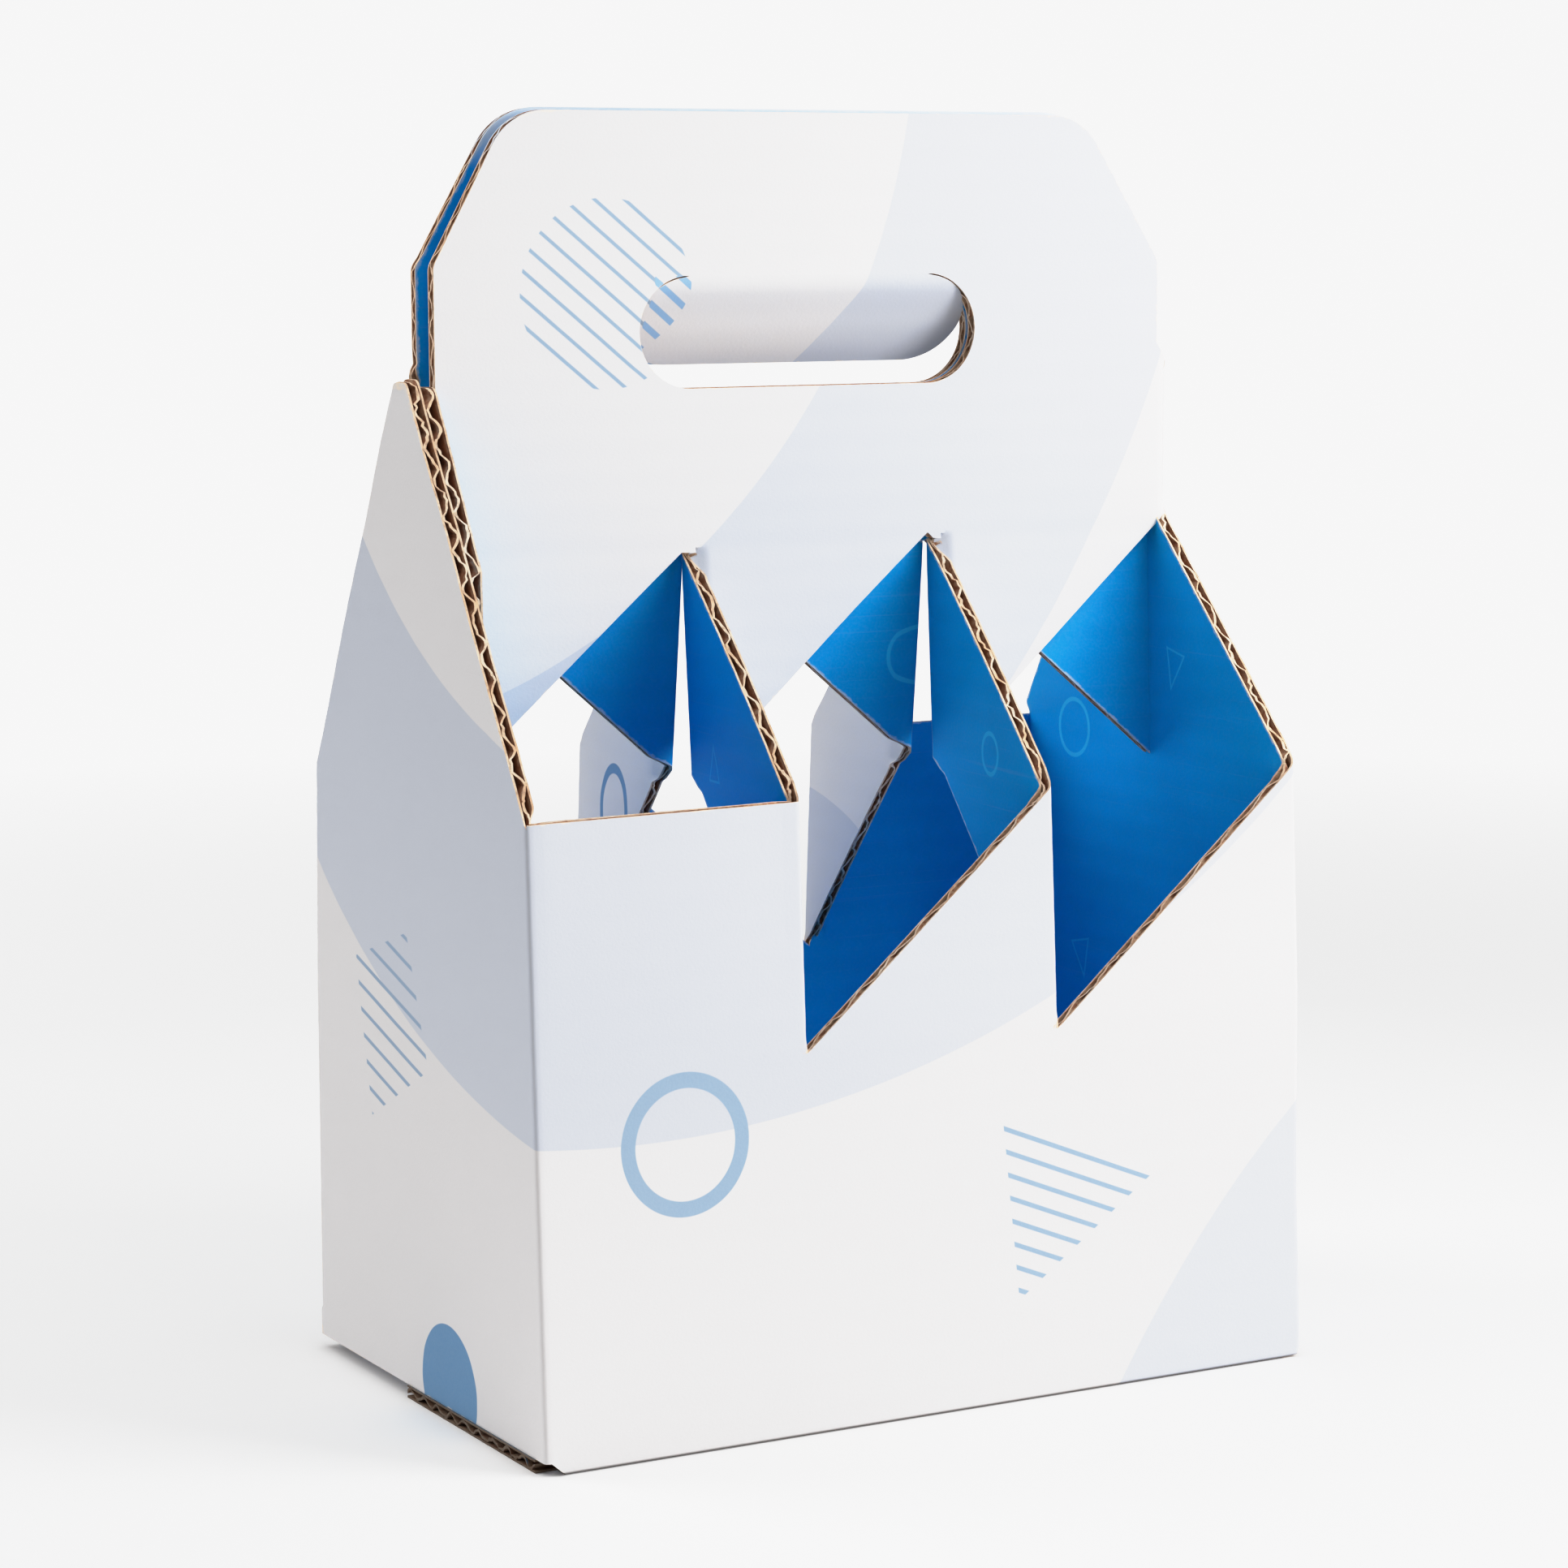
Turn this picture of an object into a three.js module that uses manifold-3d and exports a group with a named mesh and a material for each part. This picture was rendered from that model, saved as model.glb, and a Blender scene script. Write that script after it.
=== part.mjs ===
// Empty six-pack bottle carrier: one folded and glued blank of corrugated board.
// Millimetres, +Z up, origin at the centre of the base, long walls facing -Y and +Y.
import * as THREE from "three";
import Module from "manifold-3d";

// Board and box
const BOARD = 3.1; // thickness of the corrugated board
const LENGTH = 201.2; // over the two end panels, along X
const WIDTH = 123.2; // over the two long walls, along Y
const PITCH = 65; // one bottle cell along X

// Heights
const BASE_GAP = 3.1; // end panels stand on the bottom flaps
const NOTCH_Z = 88; // lowest corner of the cut-outs in the long walls
const RIM_Z = 144.2; // top of the long walls
const APEX_Z = 197.3; // apexes of the sawtooth under the handle
const PEAK_Z = 237; // peak of the end panels
const SHOULDER_Z = 262; // start of the handle's chamfers
const TOP_Z = 297; // top of the handle
const TOP_STEP = 0.5; // the front layer ends this much lower

// Handle, made of two layers of board back to back
const LAYER_GAP = 1.0; // between the layers above the apexes
const SPREAD = 4.4; // how far each layer swings out at the rim, at a divider
const FRONT_HANG = { spread: 4.2, drop: 0 }; // the same at the hanging corner by an end
const BACK_HANG = { spread: -2, drop: 2.5 };
const EDGE_FREE = 93.8; // free vertical edge of a layer, from the middle
const EDGE_FOLD_RIGHT = 97.4; // edge of the front layer above its fold
const EDGE_FOLD_LEFT = 95.5; // the same of the back layer
const CHAMFER_TOP_X = 75.4; // where a chamfer would meet the top edge
const CORNER_R = 15.5;
const SHOULDER_R = 5;

// Hand slot and the tongues pushed back through it
const SLOT_X = 0.9;
const SLOT_LENGTH = 88.8;
const SLOT_HEIGHT = 25.6;
const SLOT_TOP = 259.2;
const TONGUE_TRIM = 0.5; // cut width round a tongue
const TONGUE_ANGLE = 37.5; // degrees away from hanging straight down

// Dividers, four straps between the long walls and the handle layers
const FRONT_FOLD_SHIFT = 0.4; // outer corner of a wall fold, from the divider's plane
const BACK_FOLD_SHIFT = -1.1;
const LAYER_FOLD_SHIFT = 0.2;

// The long walls lean in above NOTCH_Z, where the straps pull on them
const LEAN_FRONT = 3;
const LEAN_BACK = 3.6;
const LEAN_BACK_LEFT = 1.6; // at the left end; there is none at the front left corner
const LEAN_RIGHT = 2.4; // at the right end, both walls

// End panels and the glue lap inside the left one
const PEAK_HALF = 3.7; // half of the flat on top of an end panel
const PEAK_R = 3;
const LAP_Y = -28; // free edge of the glue lap
const LAP_SHOULDER_Z = 195.5;
const LAP_TOP_Z = 235.2;

// Bottom flaps
const FLAP_INSET = 0.7; // front flap, from the outer faces of the end panels
const FLAP_END_Y = 10.6; // inner edge of the front flap
const BACK_FLAP_INSET = 8.7;
const RELIEF_X = 6.5; // relief cut in the fold of a bottom flap
const RELIEF_SLOPE = 2.5;
const RELIEF_DEPTH = 4.6;

const A = LENGTH / 2;
const B = WIDTH / 2;
const FOLDS = [-PITCH / 2, PITCH / 2];
const INNER_Y = LAYER_GAP / 2;
const OUTER_Y = INNER_Y + BOARD;
const ARC_STEP = Math.PI / 16;

const wasm = await Module();
wasm.setup();

// Corners [u, v, radius] with each radius turned into short segments.
function rounded(corners) {
  const out = [];
  corners.forEach(([u, v, r = 0], i) => {
    if (!r) {
      out.push([u, v]);
      return;
    }
    const here = new THREE.Vector2(u, v);
    const before = new THREE.Vector2(...corners.at(i - 1).slice(0, 2)).sub(here).normalize();
    const next = corners[(i + 1) % corners.length];
    const after = new THREE.Vector2(next[0], next[1]).sub(here).normalize();
    const half = Math.acos(THREE.MathUtils.clamp(before.dot(after), -1, 1)) / 2;
    const middle = before.clone().add(after).normalize();
    const centre = here.clone().addScaledVector(middle, r / Math.sin(half));
    const from = here.clone().addScaledVector(before, r / Math.tan(half)).sub(centre);
    const to = here.clone().addScaledVector(after, r / Math.tan(half)).sub(centre);
    const turn = Math.atan2(from.cross(to), from.dot(to));
    const steps = Math.max(2, Math.ceil(Math.abs(turn) / ARC_STEP));
    for (let k = 0; k <= steps; k++) {
      const p = from.clone().rotateAround(new THREE.Vector2(), (turn * k) / steps).add(centre);
      out.push([p.x, p.y]);
    }
  });
  return out;
}

// A stadium outline of the given length and height round [u, v], anticlockwise.
function stadium(u, v, length, height) {
  const r = height / 2;
  const straight = length / 2 - r;
  const out = [];
  for (let k = 0; k <= 16; k++) {
    const a = -Math.PI / 2 + (Math.PI * k) / 16;
    out.push([u + straight + r * Math.cos(a), v + r * Math.sin(a)]);
  }
  for (let k = 0; k <= 16; k++) {
    const a = Math.PI / 2 + (Math.PI * k) / 16;
    out.push([u - straight + r * Math.cos(a), v + r * Math.sin(a)]);
  }
  return out;
}

// One panel of board. Patches are outlines that share the corners on their common edges;
// outer and inner place a corner [u, v] on the two faces of the board.
function panel(patches, outer, inner, holes = []) {
  const index = new Map();
  const corners = [];
  const id = ([u, v]) => {
    const key = u.toFixed(4) + "," + v.toFixed(4);
    if (!index.has(key)) {
      index.set(key, corners.length);
      corners.push([u, v]);
    }
    return index.get(key);
  };
  const faces = [];
  patches.forEach((patch, n) => {
    const cut = n === 0 ? holes : [];
    const contour = patch.map((c) => new THREE.Vector2(...c));
    const inside = cut.map((h) => h.map((c) => new THREE.Vector2(...c)));
    const all = [...patch, ...cut.flat()];
    for (const tri of THREE.ShapeUtils.triangulateShape(contour, inside)) {
      const [p, q, r] = tri.map((k) => all[k]);
      const area = (q[0] - p[0]) * (r[1] - p[1]) - (r[0] - p[0]) * (q[1] - p[1]);
      if (Math.abs(area) < 1e-9) continue;
      const ids = [id(p), id(q), id(r)];
      faces.push(area > 0 ? ids : ids.reverse());
    }
  });
  const n = corners.length;
  const points = [...corners.map((c) => outer(...c)), ...corners.map((c) => inner(...c))];
  const tris = [];
  const edges = new Set(faces.flatMap(([p, q, r]) => [p + "_" + q, q + "_" + r, r + "_" + p]));
  for (const [p, q, r] of faces) {
    tris.push(p, q, r, n + r, n + q, n + p);
    for (const [s, e] of [[p, q], [q, r], [r, p]]) {
      if (edges.has(e + "_" + s)) continue;
      tris.push(s, n + s, e, e, n + s, n + e);
    }
  }
  return solid(points, tris);
}

function solid(points, tris) {
  const made = new wasm.Manifold(new wasm.Mesh({
    numProp: 3,
    vertProperties: new Float32Array(points.flat()),
    triVerts: new Uint32Array(tris),
  }));
  if (made.volume() > 0) return made;
  const turned = [];
  for (let i = 0; i < tris.length; i += 3) turned.push(tris[i], tris[i + 2], tris[i + 1]);
  return new wasm.Manifold(new wasm.Mesh({
    numProp: 3,
    vertProperties: new Float32Array(points.flat()),
    triVerts: new Uint32Array(turned),
  }));
}

// Where the handle layers fold into the straps, along the front wall.
const LAYER_FOLDS = FOLDS.map((x) => x + LAYER_FOLD_SHIFT);

// How much of the lean is reached at height z.
function lift(z) {
  return Math.max(0, (z - NOTCH_Z) / (RIM_Z - NOTCH_Z));
}

// Lean of a wall at x, from its value at the first end to full between the straps to the last.
function leanAt(x, [start, full, end], [first, last]) {
  if (x < first) return start + (full - start) * (x + A) / (first + A);
  if (x > last) return end + (full - end) * (A - x) / (A - last);
  return full;
}

// A long wall with its two straps, its handle layer and its bottom flap, as the front one.
function side({ lean, foldShift, edgeFold, hang, top, flapInset, flapEnd, slotX }) {
  const folds = FOLDS.map((x) => x + foldShift);
  const wallY = (x, z) => -B + leanAt(x, lean, folds) * lift(z);
  const [w1, w2] = folds;
  const wall = panel([
    [[-A, BASE_GAP], [-A + RELIEF_X, BASE_GAP], [-A + RELIEF_X + RELIEF_SLOPE, 0],
     [A - 2.5, 0], [A - 0.7, 0.6], [A, 2.4],
     [A, NOTCH_Z], [w2, NOTCH_Z], [w1, NOTCH_Z], [-A, NOTCH_Z]],
    [[-A, NOTCH_Z], [w1, NOTCH_Z], [w1, RIM_Z], [-A, RIM_Z]],
    [[w1, NOTCH_Z], [w2, NOTCH_Z], [w2, RIM_Z]],
    [[w2, NOTCH_Z], [A, NOTCH_Z], [A, RIM_Z]],
  ], (x, z) => [x, wallY(x, z), z], (x, z) => [x, wallY(x, z) + BOARD, z]);

  // A layer swings out below the apexes, most at the rim.
  const [f1, f2] = LAYER_FOLDS;
  const low = A - BOARD - 0.4; // hanging corner, beside the end panel
  const swing = (x, z) => (x < f1 - 1 ? hang.spread : SPREAD)
    * Math.max(0, (APEX_Z - z) / (APEX_Z - RIM_Z));
  const slope = (APEX_Z - RIM_Z) / PITCH;
  const plate = rounded([
    [-low, APEX_Z - slope * (f1 + low) - hang.drop],
    [f1, APEX_Z],
    [f2, APEX_Z],
    [A - 0.4, APEX_Z],
    [A - 0.4, PEAK_Z],
    [edgeFold, PEAK_Z],
    [edgeFold, SHOULDER_Z, SHOULDER_R],
    [CHAMFER_TOP_X, top, CORNER_R],
    [-CHAMFER_TOP_X, top, CORNER_R],
    [-EDGE_FREE, SHOULDER_Z, SHOULDER_R],
    [-EDGE_FREE, PEAK_Z - 8],
    [-low, APEX_Z + 8],
  ]);
  const layer = panel([
    plate,
    [[f1, APEX_Z], [f1, RIM_Z], [f2, APEX_Z]],
    [[f2, APEX_Z], [f2, RIM_Z], [A - 0.4, APEX_Z]],
  ], (x, z) => [x, -OUTER_Y - swing(x, z), z], (x, z) => [x, -INNER_Y - swing(x, z), z],
  [stadium(slotX, SLOT_TOP - SLOT_HEIGHT / 2, SLOT_LENGTH, SLOT_HEIGHT)]);

  const straps = [0, 1].map((i) => {
    const at = (s, z) => {
      const x = s ? LAYER_FOLDS[i] : folds[i] - BOARD;
      return [x, s ? -INNER_Y - swing(f1, z) : wallY(folds[i], z), z];
    };
    return panel([[[0, NOTCH_Z], [1, RIM_Z], [1, APEX_Z], [0, RIM_Z]]],
      at, (s, z) => at(s, z).map((c, k) => c + (k ? 0 : BOARD)));
  });

  const relief = -A + RELIEF_X + RELIEF_SLOPE;
  const flap = panel([[
    [-A + flapInset, -B + RELIEF_DEPTH], [relief, -B + RELIEF_DEPTH],
    [relief, -B + 1], [A - flapInset, -B + 1],
    [A - flapInset, flapEnd], [-A + flapInset, flapEnd],
  ]], (x, y) => [x, y, 0], (x, y) => [x, y, BOARD]);

  return wasm.Manifold.union([wall, layer, ...straps, flap]);
}

// A tongue hinged on the top edge of the hand slot at depth y of the face nearer the front.
function tongue(y) {
  const a = THREE.MathUtils.degToRad(TONGUE_ANGLE);
  const r = SLOT_HEIGHT / 2 - TONGUE_TRIM;
  const shape = stadium(SLOT_X, SLOT_HEIGHT / 2, SLOT_LENGTH - 2 * TONGUE_TRIM, 2 * r)
    .map(([x, s]) => [x, s <= TONGUE_TRIM + 0.01 ? -0.3 : s]);
  const face = (x, s) => [x, y + s * Math.sin(a), SLOT_TOP - s * Math.cos(a)];
  return panel([shape], face, (x, s) => {
    const p = face(x, s);
    return [p[0], p[1] + BOARD * Math.cos(a), p[2] + BOARD * Math.sin(a)];
  });
}

// An end panel or lap standing across X between two planes.
function across(corners, x0, x1) {
  return panel([rounded(corners)], (y, z) => [x0, y, z], (y, z) => [x1, y, z]);
}

const front = side({
  lean: [0, LEAN_FRONT, LEAN_RIGHT],
  foldShift: FRONT_FOLD_SHIFT,
  edgeFold: EDGE_FOLD_RIGHT,
  hang: FRONT_HANG,
  top: TOP_Z - TOP_STEP,
  flapInset: FLAP_INSET,
  flapEnd: FLAP_END_Y,
  slotX: SLOT_X,
});
const back = side({
  lean: [LEAN_RIGHT, LEAN_BACK, LEAN_BACK_LEFT],
  foldShift: BACK_FOLD_SHIFT,
  edgeFold: EDGE_FOLD_LEFT,
  hang: BACK_HANG,
  top: TOP_Z,
  flapInset: BACK_FLAP_INSET,
  flapEnd: -FLAP_END_Y - 0.6,
  slotX: -SLOT_X,
}).rotate([0, 0, 180]);

const leftEnd = across([
  [-B, BASE_GAP], [B, BASE_GAP], [B, NOTCH_Z], [B - LEAN_BACK_LEFT, RIM_Z],
  [PEAK_HALF, PEAK_Z, PEAK_R], [-PEAK_HALF, PEAK_Z, PEAK_R], [-B, RIM_Z],
], -A, -A + BOARD);
const rightEnd = across([
  [-B, BASE_GAP], [B, BASE_GAP], [B, NOTCH_Z], [B - LEAN_RIGHT, RIM_Z],
  [PEAK_HALF, PEAK_Z, PEAK_R], [-OUTER_Y, PEAK_Z], [-OUTER_Y, APEX_Z],
  [-B + LEAN_RIGHT, RIM_Z], [-B, NOTCH_Z],
], A - BOARD, A);
const lap = across([
  [LAP_Y, BASE_GAP], [B - BOARD + 0.3, BASE_GAP], [B - BOARD + 0.3, NOTCH_Z],
  [B - BOARD - 1.2, RIM_Z - 1],
  [OUTER_Y, APEX_Z], [OUTER_Y, LAP_TOP_Z], [-PEAK_HALF, LAP_TOP_Z, PEAK_R],
  [LAP_Y, LAP_SHOULDER_Z],
], -A + BOARD - 0.1, -A + 2 * BOARD);

const carton = wasm.Manifold.union([
  front, back, leftEnd, rightEnd, lap, tongue(-OUTER_Y), tongue(INNER_Y),
]);

function geometryOf(shape) {
  const mesh = shape.getMesh();
  const position = new Float32Array(mesh.numVert * 3);
  for (let i = 0; i < mesh.numVert; i++) {
    position.set(mesh.vertProperties.subarray(i * mesh.numProp, i * mesh.numProp + 3), i * 3);
  }
  const geometry = new THREE.BufferGeometry();
  geometry.setAttribute("position", new THREE.BufferAttribute(position, 3));
  geometry.setIndex(new THREE.BufferAttribute(new Uint32Array(mesh.triVerts), 1));
  geometry.computeVertexNormals();
  return geometry;
}

const board = new THREE.MeshStandardMaterial({ color: 0xe6e8ec, roughness: 0.85, metalness: 0 });
const mesh = new THREE.Mesh(geometryOf(carton), board);
mesh.name = "carton";

const root = new THREE.Group();
root.name = "bottle_carrier";
root.add(mesh);

export default root;
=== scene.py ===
"""An empty six-pack bottle carrier, folded and glued from one blank of printed corrugated board."""

import math

import bpy
import numpy as np
from mathutils import Matrix, Vector
from mathutils.geometry import delaunay_2d_cdt


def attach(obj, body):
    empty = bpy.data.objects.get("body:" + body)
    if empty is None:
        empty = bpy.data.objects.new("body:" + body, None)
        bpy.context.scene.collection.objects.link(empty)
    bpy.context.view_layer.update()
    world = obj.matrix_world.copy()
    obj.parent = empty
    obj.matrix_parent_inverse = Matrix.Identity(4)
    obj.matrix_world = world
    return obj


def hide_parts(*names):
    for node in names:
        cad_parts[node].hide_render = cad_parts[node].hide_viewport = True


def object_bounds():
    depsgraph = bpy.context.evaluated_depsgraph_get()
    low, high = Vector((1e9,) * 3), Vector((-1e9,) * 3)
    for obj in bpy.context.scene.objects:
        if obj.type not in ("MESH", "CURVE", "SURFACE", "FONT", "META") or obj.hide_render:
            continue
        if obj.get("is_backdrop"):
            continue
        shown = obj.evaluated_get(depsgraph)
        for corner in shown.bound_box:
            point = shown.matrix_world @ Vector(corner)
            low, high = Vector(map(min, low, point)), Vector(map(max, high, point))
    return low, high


bl_info = {
    "name": "Corrugated Bottle Carrier",
    "version": (1, 0, 0),
    "blender": (4, 5, 0),
    "location": "View3D > Sidebar > Carrier",
    "description": "Builds an empty six-pack bottle carrier of printed corrugated board",
    "category": "Add Mesh",
}

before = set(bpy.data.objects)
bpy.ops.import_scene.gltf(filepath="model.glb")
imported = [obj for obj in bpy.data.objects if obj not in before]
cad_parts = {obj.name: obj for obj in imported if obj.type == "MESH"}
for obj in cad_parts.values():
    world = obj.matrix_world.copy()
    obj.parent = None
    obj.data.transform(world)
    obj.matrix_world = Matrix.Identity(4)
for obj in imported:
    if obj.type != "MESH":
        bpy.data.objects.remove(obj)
CAD_LOW, CAD_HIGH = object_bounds()

# Sizes of the folded box in millimetres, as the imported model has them.
MM = 0.001
METRE = 1 / MM
BOARD = 3.1
A = (CAD_HIGH.x - CAD_LOW.x) / MM / 2  # half length, along X
B = (CAD_HIGH.y - CAD_LOW.y) / MM / 2  # half width, along Y
TOP_Z = (CAD_HIGH.z - CAD_LOW.z) / MM
BASE_GAP = 3.1
NOTCH_Z = 88.0
RIM_Z = 144.2
APEX_Z = 197.3
CUTS = (195.4, 196.2, 198.8)  # heights where the slanting cuts end at the two dividers and the right end
CUT_STEPS = (0.6, 0.0)  # how much higher the divider's own corner is there
CUT_BENDS = (188.8, 189.4)  # heights where the divider's cut turns steeper
PEAK_Z = 237.0
SHOULDER_Z = 262.0
CHAMFER_TOP_X = 75.4
PITCH = 65.0  # one bottle cell
LAYER_FOLDS = (-32.3, 32.7)
INNER_Y = 0.5
OUTER_Y = INNER_Y + BOARD
SPREAD = 4.4
HALF_ROUND = 2 * (A + B)  # from the front wall to the back wall along the blank
SLOT = (0.9, 246.4, 88.8, 25.6)  # hand slot: middle along and up, length and height
SLOT_TOP = SLOT[1] + SLOT[3] / 2
SLOT_MARGIN = 0.2  # between the slot and the tongue cut from it
TONGUE_ANGLE = math.radians(37.5)
FREE_X = 94.5  # free end of the handle
LAYER_FOOT_Z = 142.7  # lower corner of the handle's layers at its free end
SHOULDER_ROUND = 5.0
CHAMFER_ROUND = 15.5
PEAK_HALF = 3.7  # half of the flat on top of an end panel
PEAK_ROUND = 3.0
LAP_REACH = 28.0  # glue lap, past the middle of the box
LAP_SHOULDER_Z = 195.5
RELIEF_X = 5.0  # notch in the fold of a bottom flap at its left end
RELIEF_DEPTH = 4.6

# Creases
SHARP = 1.4  # rounding of the creases along the corners and the bottom
NEAR = 5.0  # how far from its line a crease shapes the board
PAST_RIM = 4  # how far above the rim and the peak the creases there run out
PAST_PEAK = 3

# The board, in metres
FLUTE_PITCH = 0.00742
FLUTE_START = -0.00012

# The two long sides, the back one as seen from behind.
# lean: of the wall at its left end, between its folds and at its right end
# hang: how far the handle stands out left of its first fold
# flap: inset of the bottom flap left and right, and how far it reaches past the middle
# blank: place of the side along the blank
FRONT = dict(
    lean=(0.0, 3.0, 2.4), folds=(-32.1, 33.5), hang=4.2, drop=0.0, top=TOP_Z - 0.3,
    fold_x=A, edge_x=97.4, end_top=PEAK_Z, slot_x=SLOT[0], flap=(-0.3, 0.9, 10.6), turned=False, blank=0.0,
)
BACK = dict(
    lean=(2.4, 3.6, 1.6), folds=(-33.6, 31.4), hang=-2.0, drop=2.5, top=TOP_Z + 0.4,
    fold_x=A - BOARD, edge_x=95.5, end_top=235.2, slot_x=-SLOT[0], flap=(8.7, 8.7, -11.2), turned=True,
    blank=HALF_ROUND,
)


# Folding the blank


def left_of(d):
    """The direction from the printed face to the blue one, for board that runs along d."""
    return np.stack([-d[:, 1], d[:, 0]], axis=1)


def same(pair, n):
    return np.tile(np.asarray(pair, float), (n, 1))


def along_at(direction, z):
    """The board's direction at each height, from one pair or from a function of the height."""
    return direction(z) if callable(direction) else same(direction, len(z))


def bend(d, corner, before, after, radius, reach=NEAR, crush=0.28):
    """Printed and blue face near a crease, at the signed distance d past its sharp printed corner."""
    n0, n1 = left_of(before), left_of(after)
    cos = np.sum(n0 * n1, axis=1)
    turn = before[:, 0] * after[:, 1] - before[:, 1] * after[:, 0]
    behind = corner + BOARD * (n0 + n1) / (1 + cos)[:, None]
    extra = BOARD * turn / (1 + cos)
    away = np.where((d >= 0)[:, None], after, before)
    near = np.clip(1 - (d / reach) ** 2, 0, 1)[:, None] ** 2

    def arc(knee, e):
        w = np.clip(0.5 + e / (2 * radius), 0, 1)[:, None]
        curve = knee - radius * before * (1 - w) ** 2 + radius * after * w ** 2
        return np.where((np.abs(e) < radius)[:, None], curve, knee + e[:, None] * away)

    def valley(knee, e, other):
        return knee + e[:, None] * away + (other - knee) * crush * near

    e = d * (reach - extra) / reach
    outward = (turn > 0)[:, None]
    printed = np.where(outward, arc(corner, d), valley(corner, d, behind))
    blue = np.where(outward, valley(behind, e, corner), arc(behind, e))
    far = (np.abs(d) >= reach)[:, None]
    straight = corner + d[:, None] * away
    return np.where(far, straight, printed), np.where(far, straight + BOARD * left_of(away), blue)


def ramp(t):
    t = np.clip(t, 0, 1)
    return t * t * (3 - 2 * t)


def eased(t):
    """t where it is positive, with a soft start."""
    soft = 0.08
    t = np.clip(t, 0, None)
    return t * t / (t + soft) * (1 + soft)


class Crease:
    """A fold across a standing panel: its place, the direction of the board beyond it, its height range."""

    def __init__(self, at, other, side, low=-99.0, high=999.0, fade=4.0, radius=3.0, reach=NEAR, crush=0.28):
        self.at, self.other, self.side = at, other, side
        self.low, self.high, self.fade = low, high, fade
        self.radius, self.reach, self.crush = radius, reach, crush

    def strength(self, z):
        return ramp((z - self.low) / self.fade) * ramp((self.high - z) / self.fade)


def divider_top(at, other, side, cut_z, reach=NEAR):
    """The short crease between a divider and the handle, pressed flat by the folding."""
    return Crease(at, other, side, RIM_Z - 4, cut_z + 1.5, fade=1.5, radius=0.7, reach=reach, crush=0.5)


def standing(base, along, creases, scale=None, foot=False):
    """Placing of a panel that stands upright: (s, z) to its two faces."""

    def place(s, z):
        n = len(s)
        here, d = base(s, z), along_at(along, z)
        printed, blue = here, here + BOARD * left_of(d)
        for c in creases:
            at = np.full(n, float(c.at))
            off = (s - at) * (1.0 if scale is None else scale(z))
            other = along_at(c.other, z)
            before, after = (other, d) if c.side > 0 else (d, other)
            p, q = bend(off, base(at, z), before, after, c.radius, c.reach, c.crush)
            w = (c.strength(z) * ((off * c.side > -0.2) & (np.abs(off) < NEAR)))[:, None]
            printed, blue = printed + w * (p - printed), blue + w * (q - blue)
        zp, zb = z.copy(), z.copy()
        if foot:  # the crease to the bottom flap
            p, q = bend(-z, same((0, 0), n), same((0, -1), n), same((1, 0), n), SHARP)
            low = z < NEAR
            normal = left_of(d)
            printed = printed + np.where(low, p[:, 0], 0)[:, None] * normal
            blue = blue + np.where(low, q[:, 0] - BOARD, 0)[:, None] * normal
            zp, zb = np.where(low, p[:, 1], z), np.where(low, q[:, 1], z)
        return np.column_stack([printed, zp]), np.column_stack([blue, zb])

    return place


def unit(v):
    return v / np.linalg.norm(v, axis=1)[:, None]


def lift(z):
    """How much of its lean a wall has at height z."""
    return np.clip(eased((z - NOTCH_Z) / (RIM_Z - NOTCH_Z)), 0, 1)


def lean_at(side, x):
    w = side["folds"]
    return np.interp(x, [-A, w[0], w[1], A], [side["lean"][k] for k in (0, 1, 1, 2)])


def wall_y(side, x, z):
    return -B + lean_at(side, x) * lift(z)


def swing(side, x, z):
    """How far a layer of the handle stands out below the apexes."""
    t = eased((APEX_Z - z) / (APEX_Z - RIM_Z))
    return np.where(x < LAYER_FOLDS[0] + 1, side["hang"], SPREAD) * t


def strap_ends(side, i, z):
    x0, x1 = side["folds"][i], LAYER_FOLDS[i] + BOARD
    start = np.column_stack([np.full(len(z), x0), wall_y(side, x0, z)])
    end = np.column_stack([np.full(len(z), x1), -OUTER_Y - swing(side, x1, z)])
    return start, end


def strap_direction(side, i):
    def direction(z):
        start, end = strap_ends(side, i, z)
        return unit(end - start)
    return direction


# Outlines


def rounded(corners):
    """Corners (s, t, radius, fold) with each radius turned into short steps; fold marks the edge after."""
    out = []
    for i, c in enumerate(corners):
        s, t, r, fold = (*c, 0, False)[:4] if len(c) == 2 else (*c, False)[:4]
        if not r:
            out.append((s, t, fold))
            continue
        here = Vector((s, t))
        before = (Vector(corners[i - 1][:2]) - here).normalized()
        after = (Vector(corners[(i + 1) % len(corners)][:2]) - here).normalized()
        half = before.angle(after) / 2
        middle = here + (before + after).normalized() * (r / math.sin(half))
        start = here + before * (r / math.tan(half)) - middle
        end = here + after * (r / math.tan(half)) - middle
        turn = math.atan2(start.x * end.y - start.y * end.x, start.dot(end))
        steps = max(3, math.ceil(abs(turn) / 0.1))
        for k in range(steps + 1):
            a = turn * k / steps
            p = Matrix.Rotation(a, 2) @ start + middle
            out.append((p.x, p.y, False))
    return out


def stadium(s, t, length, height):
    """A slot's outline; its upper straight edge is creased, where the tongue hangs."""
    steps = 28
    r = height / 2
    straight = length / 2 - r
    out = []
    for side, start in ((1, -math.pi / 2), (-1, math.pi / 2)):
        for k in range(steps + 1):
            a = start + math.pi * k / steps
            out.append((s + side * straight + r * math.cos(a), t + r * math.sin(a), side > 0 and k == steps))
    return out


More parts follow.
